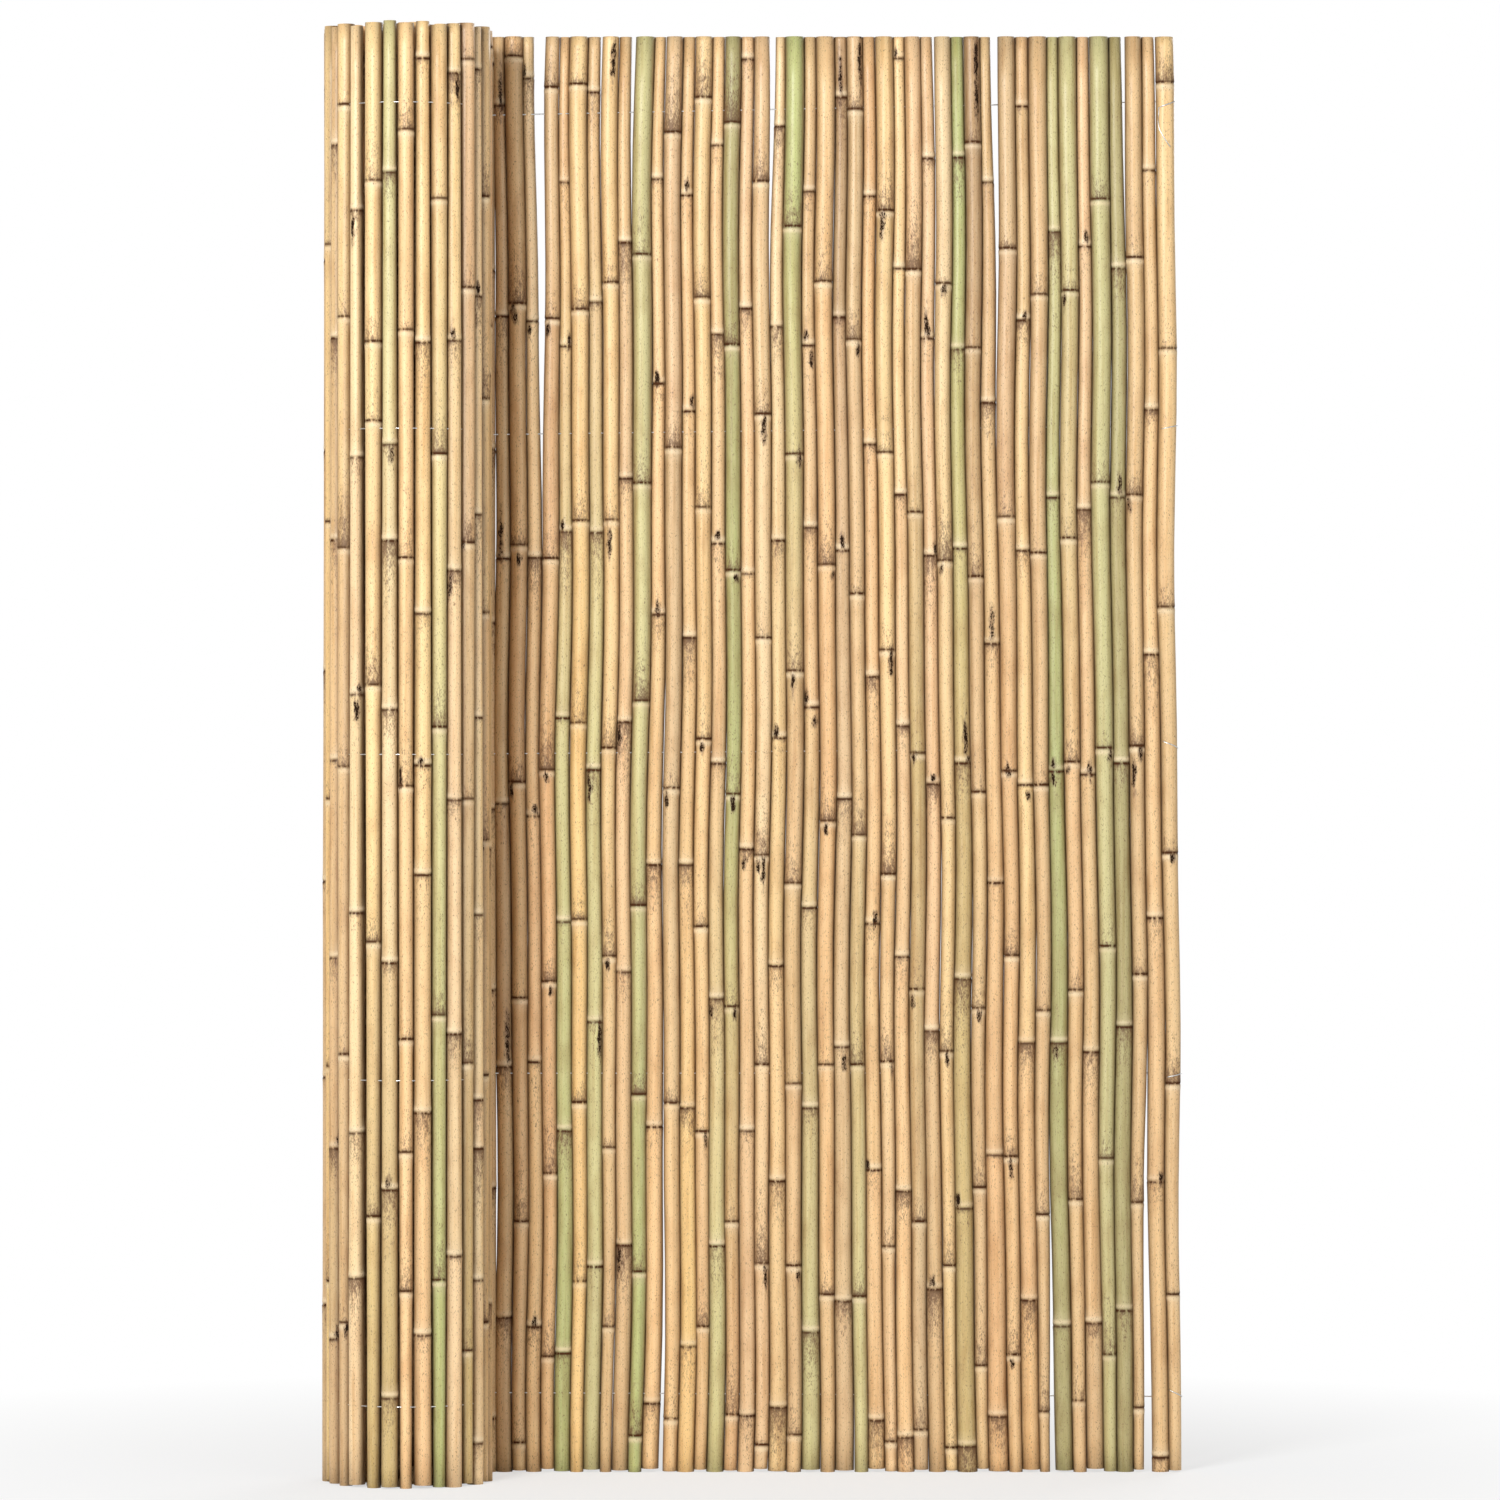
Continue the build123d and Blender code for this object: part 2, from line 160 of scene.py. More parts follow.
class CaneSettings(bpy.types.PropertyGroup):
    """Sizes and finish of the bamboo culms."""

    sides: bpy.props.IntProperty(
        name="Sides", description="Faces around a culm in view", default=26, min=8, max=48)
    inner_sides: bpy.props.IntProperty(
        name="Inner sides", description="Faces around a culm inside the roll", default=14, min=8, max=48)
    fullness: bpy.props.FloatProperty(
        name="Fullness",
        description="Radius of a round culm as a share of the distance to the flats of its solid",
        default=1.045, min=1.0, max=1.08)
    # The next two settings paint shade: a darker colour on the sides of a culm that face its neighbours, in
    # place of the shade that falls between canes
    crevice_shade: bpy.props.FloatProperty(
        name="Crevice",
        description="Darkness of the shading between neighbours", default=0.97, subtype="FACTOR")
    crevice_width: bpy.props.FloatProperty(
        name="Crevice width", description="Reach of that shading round a culm", default=0.8, subtype="ANGLE")
    wave: bpy.props.FloatProperty(
        name="Wave", description="How far the canes bend sideways together", default=0.0016, unit="LENGTH")
    stagger: bpy.props.FloatProperty(
        name="Stagger", description="How far neighbours stand before and behind the line of the wires",
        default=0.002, unit="LENGTH")
    internode: bpy.props.FloatProperty(
        name="Internode", description="Usual distance between joints", default=0.29, unit="LENGTH")
    waist: bpy.props.FloatProperty(
        name="Waist", description="How far a culm is slimmer between joints", default=0.0003, unit="LENGTH")
    wall: bpy.props.FloatProperty(
        name="Wall",
        description="Wall of the hollow culm as a share of its radius", default=0.42, subtype="FACTOR")
    hollow_depth: bpy.props.FloatProperty(
        name="Hollow depth", description="Depth of the open ends", default=0.03, unit="LENGTH")
    stain_length: bpy.props.FloatProperty(
        name="Stain length",
        description="Length of the speckled stain at a joint", default=0.045, unit="LENGTH")
    ring_colour: bpy.props.FloatVectorProperty(
        name="Ring colour", description="Colour of the scar ring at a joint", subtype="COLOR",
        default=(0.075, 0.03, 0.012), size=3, min=0, max=1)
    stain_colour: bpy.props.FloatVectorProperty(
        name="Stain colour", description="Colour of the speckled stain", subtype="COLOR",
        default=(0.15, 0.072, 0.032), size=3, min=0, max=1)
    band_colour: bpy.props.FloatVectorProperty(
        name="Band colour",
        description="Colour of the waxy band on the tip side of a joint", subtype="COLOR",
        default=(0.88, 0.72, 0.48), size=3, min=0, max=1)
    scar_colour: bpy.props.FloatVectorProperty(
        name="Scar colour", description="Colour of the scars that branches left", subtype="COLOR",
        default=(0.022, 0.011, 0.006), size=3, min=0, max=1)
    pith_colour: bpy.props.FloatVectorProperty(
        name="Pith colour", description="Colour of the cut ends and the hollow", subtype="COLOR",
        default=(0.62, 0.46, 0.27), size=3, min=0, max=1)
    roughness: bpy.props.FloatProperty(
        name="Roughness", description="Roughness of a clean culm", default=0.4, subtype="FACTOR")


class WireSettings(bpy.types.PropertyGroup):
    """Sizes and finish of the binding wires."""

    diameter: bpy.props.FloatProperty(
        name="Diameter", description="Thickness of the wire", default=0.0015, unit="LENGTH")
    forward: bpy.props.FloatProperty(
        name="Forward",
        description="How far the wire runs before the middle of the canes", default=0.005, unit="LENGTH")
    colour: bpy.props.FloatVectorProperty(
        name="Colour", description="Colour of the galvanized wire", subtype="COLOR",
        default=(0.95, 0.95, 0.94), size=3, min=0, max=1)
    roughness: bpy.props.FloatProperty(
        name="Roughness", description="Roughness of the zinc", default=0.34, subtype="FACTOR")


class StudioSettings(bpy.types.PropertyGroup):
    """Camera, light and floor."""

    distance: bpy.props.FloatProperty(
        name="Distance", description="From the camera to the open part", default=8.9, unit="LENGTH")
    eye_height: bpy.props.FloatProperty(
        name="Eye height", description="Camera height", default=0.92, unit="LENGTH")
    picture_width: bpy.props.FloatProperty(
        name="Picture width",
        description="Width of the view at the open part", default=1.913, unit="LENGTH")
    floor_colour: bpy.props.FloatVectorProperty(
        name="Floor colour", description="Colour of the floor", subtype="COLOR",
        default=(0.9, 0.9, 0.9), size=3, min=0, max=1)
    glow: bpy.props.FloatProperty(
        name="Glow",
        description="How white the floor is to the camera under the fence", default=0.6, subtype="FACTOR")
    ambient: bpy.props.FloatProperty(
        name="Ambient", description="Light from all round", default=0.3, min=0)
    key_power: bpy.props.FloatProperty(
        name="Key", description="Power of the key lamp at the left", default=262, min=0)
    fill_power: bpy.props.FloatProperty(
        name="Fill", description="Power of the fill lamp at the right", default=50, min=0)
    rear_power: bpy.props.FloatProperty(
        name="Rear", description="Power of the lamp behind the fence", default=110, min=0)


def linear(colour):
    """Picture values from 0 to 255 as linear light."""
    c = np.asarray(colour, float) / 255
    return np.where(c <= 0.04045, c / 12.92, ((c + 0.055) / 1.055) ** 2.4)


def culms_of(node):
    """Each cane of a CAD node as rings (height, x, y, radius to the flats) from the foot up."""
    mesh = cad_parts[node].data
    points = np.array([v.co for v in mesh.vertices], float)
    keys, same = np.unique(np.round(points * 1e5).astype(int), axis=0, return_inverse=True)
    same = same.reshape(-1)
    owner = np.arange(len(keys))

    def root(k):
        while owner[k] != k:
            owner[k] = owner[owner[k]]
            k = owner[k]
        return k

    for polygon in mesh.polygons:
        corners = [root(same[k]) for k in polygon.vertices]
        for k in corners[1:]:
            owner[root(k)] = root(corners[0])
    solids = {}
    for k in range(len(keys)):
        solids.setdefault(root(k), []).append(keys[k] / 1e5)
    culms = []
    for solid in solids.values():
        solid = np.array(solid)
        heights = np.round(solid[:, 2], 4)
        rings = []
        for z in np.unique(heights):
            level = solid[heights == z]
            if len(level) in (6, 8):
                x, y = level[:, 0].mean(), level[:, 1].mean()
                corner = np.hypot(level[:, 0] - x, level[:, 1] - y).mean()
                rings.append((z, x, y, corner * math.cos(math.pi / len(level))))
        culms.append(np.array(rings))
    return culms


def ridges_of(rings):
    """Heights of the ridges of a solid cane, and the way to its tip: 1 is up."""
    up = 1 if rings[0][3] > rings[-1][3] else -1
    steps = [(low[0], high[0]) for low, high in zip(rings, rings[1:]) if high[0] - low[0] < 0.004]
    return [low if up > 0 else high for low, high in steps], up


def photo_height(row, nearer):
    """Height of a row of the photo on a cane; nearer is its share of the open part's distance to the camera."""
    eye = bpy.context.scene.fence_studio.eye_height
    return eye + ((FLOOR_ROW - row) * ROW_HEIGHT - eye) * nearer


def joint_heights(rings, rows, nearer, settings, rng):
    """Heights of all joints of a cane: those in the photo or a plain row of them, and the solid's ridges."""
    ridges, up = ridges_of(rings)
    foot, top = rings[0][0], rings[-1][0]
    if rows:
        joints = [photo_height(row, nearer) for row in rows]
    else:
        start = ridges[0] if ridges else foot + rng.uniform(0.2, 0.5)
        joints = []
        for way in (-1, 1):
            z = start
            while foot < z < top:
                joints.append(z)
                shorter = 1 - 0.2 * up * (z - foot) / (top - foot)
                z += way * settings.internode * rng.uniform(0.85, 1.1) * shorter
    joints = [z for z in joints if foot + 0.012 < z < top - 0.012]
    joints = [z for z in joints if all(abs(z - ridge) > 0.06 for ridge in ridges)]
    return sorted(joints + ridges), up


def sway(x, z):
    """Sideways wave that neighbouring canes share, as they lie against each other."""
    wave = bpy.context.scene.fence_canes.wave
    return wave * (np.sin(z * 7.3 + x * 6) + 0.6 * np.sin(z * 15.1 + x * 11))


def space_beside(heights, x, radius, neighbour, side):
    """Space from a cane to its neighbour on one side at all heights."""
    other_x, other_radius = (np.interp(heights, neighbour[:, 0], neighbour[:, k]) for k in (1, 3))
    return side * (other_x - x) - other_radius - radius


# Profile of a joint along the growth of the cane: distance to the ring, and how far the surface is sunk
JOINT_PROFILE = (
    (-0.070, 1.0), (-0.034, 0.9), (-0.014, 0.6), (-0.006, 0.2), (-0.0022, -0.5), (-0.0009, -0.6),
    (0.0002, 0.2),
    (0.0011, 1.2), (0.0024, 0.6), (0.0042, -0.5), (0.0065, -0.3), (0.0105, 0.6), (0.022, 1.0),
)


class CulmMesh:
    """Points, faces and colours of round culms, gathered into one mesh."""

    def __init__(self, settings, sides):
        self.settings = settings
        self.sides = sides
        self.points, self.faces, self.tones, self.marks, self.inner = [], [], [], [], []

    def add(self, rings, tones, seed, rows=(), scars=(), nearer=1.0, forward=0.0, plain=False, beside=(),
            snug=False):
        """A culm through the rings of a solid cane; beside has the rings of the canes on both sides of it."""
        s = self.settings
        rng = np.random.default_rng(seed)
        joints, up = joint_heights(rings, rows, nearer, s, rng)
        foot, top = rings[0][0], rings[-1][0]
        scars = [(photo_height(row, nearer), size * ROW_HEIGHT) for row, size in scars]
        if not plain:
            scars += [(z + up * rng.uniform(0.006, 0.014), rng.uniform(0.01, 0.022)) for z in joints
                      if rng.uniform() < 0.12]
        heights = [foot, top]
        steps, depths = np.array(JOINT_PROFILE).T
        for z in joints:
            heights += [z] if plain else list(z + up * steps)
        for low, high in zip([foot] + joints, joints + [top]):
            heights += list(np.linspace(low, high, 3 if plain else 5)[1:-1])
        for z, size in scars:
            heights += list(z + np.linspace(-0.7, 0.7, 9) * size)
        heights = np.array(sorted(z for z in heights if foot <= z <= top))
        heights = heights[np.concatenate([[True], np.diff(heights) > 0.0003])]

        ridges, _ = ridges_of(rings)
        knots = [foot] + ridges + [top]
        flats = np.interp(knots, rings[:, 0], rings[:, 3])
        flats[[0, -1]] += 0.0003
        radius = np.interp(heights, knots, flats)
        sunk = np.ones(len(heights))
        marks = np.zeros((len(heights), 3))
        for z in joints:
            along = (heights - z) * up
            near = (along > steps[0]) & (along < steps[-1])
            sunk[near] = np.minimum(sunk[near], np.interp(along[near], steps, depths))
            strength = rng.uniform(0.35, 1.1)
            stain = strength * np.exp(np.minimum(along, 0) / (s.stain_length * rng.uniform(0.4, 1.5)))
            marks[:, 0] = np.maximum(marks[:, 0], np.where(along < 0.0005, stain, 0))
            ring = rng.uniform(0.8, 1.1) * np.exp(-((along - 0.0004) / 0.0023) ** 2)
            marks[:, 1] = np.maximum(marks[:, 1], ring)
            band = rng.uniform(0.5, 1.0) * np.exp(-((along - 0.0062) / 0.0036) ** 2)
            marks[:, 2] = np.maximum(marks[:, 2], band)

        bends = rng.uniform(-1, 1, (len(joints) + 2, 2))
        turns_at = [foot] + joints + [top]
        x = np.interp(heights, rings[:, 0], rings[:, 1])
        y = np.interp(heights, rings[:, 0], rings[:, 2]) + np.interp(heights, turns_at, bends[:, 1]) * 0.0008
        y -= forward
        if snug:
            grown = []
            for side, neighbour in zip((-1, 1), beside):
                gap = space_beside(heights, x, radius, neighbour, side) if neighbour is not None else 0.001
                grown.append(np.interp(gap, [0, 0.003, 0.005, 0.008], [0.0004, 0.0019, 0.0025, 0.0003]))
            radius = radius + (grown[0] + grown[1]) / 2
            x = x + (grown[1] - grown[0]) / 2 + sway(x.mean(), heights)
        else:
            radius = radius * s.fullness
        radius = radius - s.waist * sunk
        x = x + np.interp(heights, turns_at, bends[:, 0]) * 0.0003

        share = (heights - foot) / (top - foot)
        shades = np.array([linear(CULM_COLOURS[t]) for t in tones])
        spots = np.linspace(0.1, 0.9, len(tones))
        colour = np.stack([np.interp(share, spots, shades[:, k]) for k in range(3)], 1)
        count = len(joints) + 2
        lengths = rng.uniform(0.93, 1.04, (count, 1)) * rng.uniform(0.985, 1.015, (count, 3))
        colour = colour * lengths[np.searchsorted(joints, heights)]

        turns = np.arange(self.sides) * 2 * math.pi / self.sides
        streak = 1 + 0.04 * np.sin(turns * 2 + rng.uniform(0, 6.3))
        streak = streak + 0.03 * np.sin(turns * 5 + rng.uniform(0, 6.3))
        # Painted shade: the sides of the culm that face its neighbours get a darker, browner colour, in place
        # of the shade that falls between canes; a side without a neighbour is not darkened
        crevice_shade = np.zeros(self.sides)
        for neighbour in beside:
            if neighbour is not None:
                at = math.atan2(neighbour[0][2] - rings[0][2], neighbour[0][1] - rings[0][1])
                away = np.abs((turns - at + math.pi) % (2 * math.pi) - math.pi)
                crevice_shade = np.maximum(crevice_shade, np.exp(-(away / s.crevice_width) ** 2))
        shaded = 1 - np.outer(crevice_shade, np.array((0.86, 0.93, 1.0)) * s.crevice_shade)
        black = np.zeros((len(heights), self.sides))
        for z, size in scars:
            at = -math.pi / 2 + rng.uniform(-0.8, 0.8)
            away = np.abs((turns - at + math.pi) % (2 * math.pi) - math.pi)
            run = (heights - z) / (size * 0.55)
            black = np.maximum(black, np.exp(-run[:, None] ** 2) * np.exp(-(away[None] / 0.36) ** 2))

        start = len(self.points)
        around = np.stack([np.cos(turns), np.sin(turns)], 1)
        for k, z in enumerate(heights):
            for m in range(self.sides):
                self.points.append((x[k] + radius[k] * around[m, 0], y[k] + radius[k] * around[m, 1], z))
                self.tones.append(colour[k] * streak[m] * shaded[m])
                self.marks.append((*marks[k], black[k, m]))
        rows = [start + k * self.sides for k in range(len(heights))]
        for low, high in zip(rows, rows[1:]):
            self.wall(low, high)
        for row, z, sign in ((rows[0], foot, 1), (rows[-1], top, -1)):
            self.end(row, z, sign, heights, x, y, radius, around)

    def wall(self, low, high):
        n = self.sides
        for m in range(n):
            self.faces.append((low + m, low + (m + 1) % n, high + (m + 1) % n, high + m))
            self.inner.append(False)

    def end(self, row, z, sign, heights, x, y, radius, around):
        """A cut end: the wall's face, the hollow inside it and the closed bottom of the hollow, with painted
        shade darkening the hollow towards its bottom.
        """
        s = self.settings
        n = self.sides
        last = row
        k = 0 if sign > 0 else len(heights) - 1
        bore = radius[k] * (1 - s.wall)
        pith = np.array(s.pith_colour)
        # Painted shade: the hollow's colour falls to 0.35 of the pith colour at its closed bottom, in place of
        # the shade inside it
        for depth, reach, shade in ((0.0, bore, 1.0), (s.hollow_depth, bore * 0.96, 0.35)):
            row = len(self.points)
            for m in range(n):
                across = x[k] + reach * around[m, 0], y[k] + reach * around[m, 1]
                self.points.append((*across, z + sign * depth))
                self.tones.append(pith * shade)
                self.marks.append((0, 0, 0, 0))
            for m in range(n):
                ring = (last + m, row + m, row + (m + 1) % n, last + (m + 1) % n)
                self.faces.append(ring if sign > 0 else ring[::-1])
                self.inner.append(True)
            last = row
        bottom = tuple(last + m for m in range(n))
        self.faces.append(bottom[::-1] if sign > 0 else bottom)
        self.inner.append(True)

    def object(self, name, material):
        mesh = bpy.data.meshes.new(name)
        mesh.from_pydata(self.points, [], self.faces)
        # The colour attribute holds the cane's own colour with painted shade baked in, between neighbours and
        # down the hollow ends
        tone = mesh.color_attributes.new("culm_tone_and_shade", "FLOAT_COLOR", "POINT")
        opaque = np.column_stack([np.clip(self.tones, 0, 1), np.ones(len(self.tones))])
        tone.data.foreach_set("color", opaque.ravel())
        mark = mesh.attributes.new("culm_marks", "FLOAT_COLOR", "POINT")
        mark.data.foreach_set("color", np.array(self.marks, float).ravel())
        mesh.polygons.foreach_set("use_smooth", [not flat for flat in self.inner])
        mesh.materials.append(material)
        mesh.update()
        piece = bpy.data.objects.new(name, mesh)
        bpy.context.scene.collection.objects.link(piece)
        return piece


class Nodes:
    """Short ways to build a material."""

    def __init__(self, name):
        self.material = bpy.data.materials.new(name)
        self.material.use_nodes = True
        self.tree = self.material.node_tree
        self.shader = self.tree.nodes["Principled BSDF"]

    def add(self, kind, inputs=None, **values):
        node = self.tree.nodes.new(kind)
        for name, value in values.items():
            setattr(node, name, value)
        for name, value in (inputs or {}).items():
            self.feed(node.inputs[name], value)
        return node

    def feed(self, socket, value):
        if isinstance(value, bpy.types.NodeSocket):
            self.tree.links.new(value, socket)
        else:
            socket.default_value = value

    def maths(self, operation, one, two=0.0):
        node = self.add("ShaderNodeMath", {0: one, 1: two}, operation=operation, use_clamp=False)
        return node.outputs[0]

    def mix(self, share, one, two, blend="MIX"):
        node = self.add("ShaderNodeMix", {"Factor": share}, data_type="RGBA", blend_type=blend)
        self.feed(node.inputs[6], one)
        self.feed(node.inputs[7], two)
        return node.outputs[2]

    def ramp(self, value, low, high):
        limits = {"Value": value, "From Min": low, "From Max": high}
        return self.add("ShaderNodeMapRange", limits, clamp=True).outputs["Result"]


def culm_material():
    """Bamboo: tone of the cane with its painted shade, fine fibres and flecks, speckled stains, scar rings and
    smears.
    """
    found = bpy.data.materials.get("bamboo culm")
    if found:
        return found
    s = bpy.context.scene.fence_canes
    n = Nodes("bamboo culm")
    tone = n.add("ShaderNodeAttribute", attribute_name="culm_tone_and_shade").outputs["Color"]
    marks = n.add("ShaderNodeAttribute", attribute_name="culm_marks")
    split = n.add("ShaderNodeSeparateColor", {"Color": marks.outputs["Color"]}).outputs
    stain, ring, band, black = split[0], split[1], split[2], marks.outputs["Alpha"]
    place = n.add("ShaderNodeTexCoord").outputs["Object"]
    long = n.add("ShaderNodeMapping", {"Vector": place, "Scale": (1, 1, 0.03)}).outputs[0]
    oval = n.add("ShaderNodeMapping", {"Vector": place, "Scale": (1, 1, 0.4)}).outputs[0]
    fibre = n.add("ShaderNodeTexNoise", {"Vector": long, "Scale": 1400.0, "Detail": 3.0}).outputs["Fac"]
    cloud = n.add("ShaderNodeTexNoise", {"Vector": long, "Scale": 160.0, "Detail": 4.0}).outputs["Fac"]
    patch = n.add("ShaderNodeTexNoise", {"Vector": oval, "Scale": 45.0, "Detail": 5.0}).outputs["Fac"]
    speck = n.add("ShaderNodeTexNoise", {"Vector": oval, "Scale": 850.0, "Detail": 2.0}).outputs["Fac"]
    blotch = n.add("ShaderNodeTexNoise", {"Vector": oval, "Scale": 260.0, "Detail": 6.0}).outputs["Fac"]

    lit = n.mix(0.18, tone, (0.95, 0.82, 0.55, 1))
    colour = n.mix(n.ramp(fibre, 0.35, 0.68), lit, tone)
    dulled = n.mix(1.0, colour, (0.8, 0.71, 0.6, 1), "MULTIPLY")
    colour = n.mix(n.ramp(cloud, 0.5, 0.75), colour, dulled)
    weathered = n.mix(1.0, colour, (0.86, 0.8, 0.76, 1), "MULTIPLY")
    colour = n.mix(n.ramp(patch, 0.5, 0.72), colour, weathered)
    colour = n.mix(n.maths("MULTIPLY", band, 0.7), colour, (*s.band_colour, 1))
    fleck = n.maths("MULTIPLY", n.ramp(speck, 0.6, 0.68), 0.55)
    colour = n.mix(fleck, colour, (*s.stain_colour, 1))
    cover = n.maths("ADD", n.maths("MULTIPLY", speck, 0.5), n.maths("MULTIPLY", blotch, 0.5))
    stippled = n.ramp(n.maths("ADD", cover, n.maths("MULTIPLY", stain, 0.34)), 0.62, 0.84)
    colour = n.mix(n.maths("MULTIPLY", stippled, 0.85), colour, (*s.stain_colour, 1))
    uneven = n.maths("MULTIPLY", n.maths("SUBTRACT", blotch, 0.5), 1.6)
    halo = n.ramp(n.maths("ADD", uneven, black), 0.15, 0.6)
    halo = n.maths("MULTIPLY", halo, n.ramp(black, 0.02, 0.2))
    colour = n.mix(n.maths("MULTIPLY", halo, 0.7), colour, (*s.stain_colour, 1))
    ragged = n.maths("ADD", n.maths("MULTIPLY", n.maths("SUBTRACT", cover, 0.5), 4.2), black)
    scarred = n.ramp(ragged, 0.55, 0.85)
    scarred = n.maths("MULTIPLY", scarred, n.ramp(black, 0.1, 0.35))
    colour = n.mix(scarred, colour, (*s.scar_colour, 1))
    broken = n.maths("MULTIPLY", ring, n.ramp(blotch, 0.25, 0.5))
    colour = n.mix(n.ramp(broken, 0.0, 0.9), colour, (*s.ring_colour, 1))
    n.feed(n.shader.inputs["Base Color"], colour)

    dry = n.maths("ADD", n.maths("MULTIPLY", stippled, 0.2), n.maths("MULTIPLY", scarred, 0.5))
    rough = n.maths("ADD", dry, n.maths("MULTIPLY", cloud, 0.16))
    n.feed(n.shader.inputs["Roughness"], n.maths("ADD", rough, s.roughness - 0.08))
    bump = n.add("ShaderNodeBump", {"Strength": 0.15, "Distance": 0.0004, "Height": fibre})
    n.feed(n.shader.inputs["Normal"], bump.outputs[0])
    shine = n.maths("SUBTRACT", 0.5, n.maths("MULTIPLY", n.maths("MAXIMUM", scarred, broken), 0.45))
    n.feed(n.shader.inputs["Specular IOR Level"], shine)
    return n.material


def wire_material():
    """Galvanized wire: bright zinc with a dull spangle."""
    s = bpy.context.scene.fence_wires
    n = Nodes("galvanized wire")
    place = n.add("ShaderNodeTexCoord").outputs["Object"]
    spangle = n.add("ShaderNodeTexNoise", {"Vector": place, "Scale": 700.0, "Detail": 3.0}).outputs["Fac"]
    dull = n.mix(1.0, (*s.colour, 1), (0.72, 0.73, 0.74, 1), "MULTIPLY")
    n.feed(n.shader.inputs["Base Color"], n.mix(n.ramp(spangle, 0.4, 0.65), (*s.colour, 1), dull))
    rough = n.maths("MULTIPLY", spangle, 0.2)
    n.feed(n.shader.inputs["Roughness"], n.maths("ADD", rough, s.roughness - 0.1))
    n.shader.inputs["Metallic"].default_value = 1.0
    return n.material


def dress(piece, node):
    """Hangs a finished piece on the root body and hides the CAD node that it stands for."""
    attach(piece, "root")
    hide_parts(node)


class FENCE_OT_open_canes(bpy.types.Operator):
    """Builds the canes of the open part that are in view, one object each"""

    bl_idname = "fence.open_canes"
    bl_label = "Open canes"

    def execute(self, context):
        settings = context.scene.fence_canes
        behind = max(culms_of("canes_behind_roll"), key=lambda rings: rings[0][1])
        canes = [culms_of(f"cane_{number:02d}")[0] for number in range(1, len(OPEN_TONES) + 1)]
        row = [behind] + canes + [None]
        for number, tones in enumerate(OPEN_TONES, 1):
            node = f"cane_{number:02d}"
            culm = CulmMesh(settings, settings.sides)
            forward = 0.0 if number == len(OPEN_TONES) else settings.stagger * (-1) ** number
            culm.add(row[number], tones, number, OPEN_JOINTS[number - 1], OPEN_SCARS.get(number, ()),
                     forward=forward, beside=(row[number - 1], row[number + 1]), snug=True)
            dress(culm.object(f"culm_{number:02d}", culm_material()), node)
        return {"FINISHED"}


class FENCE_OT_hidden_canes(bpy.types.Operator):
    """Builds the canes of the open part that stand behind the roll"""

    bl_idname = "fence.hidden_canes"
    bl_label = "Canes behind the roll"

    def execute(self, context):
        settings = context.scene.fence_canes
        culms = CulmMesh(settings, settings.sides)
        for number, rings in enumerate(culms_of("canes_behind_roll")):
            culms.add(rings, OPEN_TONES[(7 * number + 3) % len(OPEN_TONES)], 200 + number)
        dress(culms.object("culms_behind_roll", culm_material()), "canes_behind_roll")
        return {"FINISHED"}


def wound_canes():
    """The canes of the roll by turn, each turn in order from the back round by the left and the front."""
    nodes = sorted(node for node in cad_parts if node.startswith("roll_turn"))
    if not nodes:
        raise RuntimeError("the frame has no turns of the roll")
    boxes = [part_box(node) for node in nodes]
    middle = sum(boxes[-1], Vector()) / 2
    turns = {}
    for node in nodes:
        canes = culms_of(node)
        canes.sort(key=lambda rings: (math.atan2(rings[0][2] - middle.y, rings[0][1] - middle.x)
                                      - math.pi / 2 + 1e-2) % (2 * math.pi))
        turns[node] = canes
    return turns


class FENCE_OT_roll(bpy.types.Operator):
    """Builds the rolled-up canes, one object for each turn"""

    bl_idname = "fence.roll"
    bl_label = "Roll"

    def execute(self, context):
        settings = context.scene.fence_canes
        studio = context.scene.fence_studio
        line = sum(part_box("cane_44"), Vector()).y / 2
        for turn, (node, canes) in enumerate(wound_canes().items(), 1):
            culms = CulmMesh(settings, settings.sides if turn == 1 else settings.inner_sides)
            for number, rings in enumerate(canes):
                tones = OPEN_TONES[(11 * number + 5 * turn) % len(OPEN_TONES)]
                if turn > 1:
                    culms.add(rings, tones, 1000 * turn + number, plain=True)
                    continue
                nearer = (studio.distance - line + rings[0][2]) / studio.distance
                beside = canes[max(number - 1, 0)], canes[min(number + 1, len(canes) - 1)]
                beside = [cane if cane is not rings else None for cane in beside]
                culms.add(rings, ROLL_TONES.get(number, tones), 1000 + number, ROLL_JOINTS.get(number, ()),
                          ROLL_SCARS.get(number, ()), nearer, beside=beside)
            dress(culms.object(f"culms_of_turn_{turn}", culm_material()), node)
        return {"FINISHED"}


def tube(path, radius, sides=8):
    """Points and faces of a round wire along a path."""
    path = np.array(path, float)
    ahead = np.gradient(path, axis=0)
    ahead /= np.linalg.norm(ahead, axis=1)[:, None]
    up = np.array([0.0, 0.0, 1.0])
    points, faces = [], []
    for at, way in zip(path, ahead):
        side = np.cross(way, up)
        side /= np.linalg.norm(side)
        rise = np.cross(side, way)
        for k in range(sides):
            turn = 2 * math.pi * k / sides
            points.append(at + radius * (math.cos(turn) * side + math.sin(turn) * rise))
    for row in range(len(path) - 1):
        for k in range(sides):
            low, high = row * sides, (row + 1) * sides
            faces.append((low + k, low + (k + 1) % sides, high + (k + 1) % sides, high + k))
    faces.append(tuple(range(sides))[::-1])
    faces.append(tuple(len(points) - sides + k for k in range(sides)))
    return points, faces


# Loose tail of the top wire down the front of the end cane: angle round the cane and drop, in metres
TOP_TAIL = ((-2.45, 0.008), (-2.5, 0.018), (-2.3, 0.028), (-1.7, 0.04), (-1.1, 0.05))


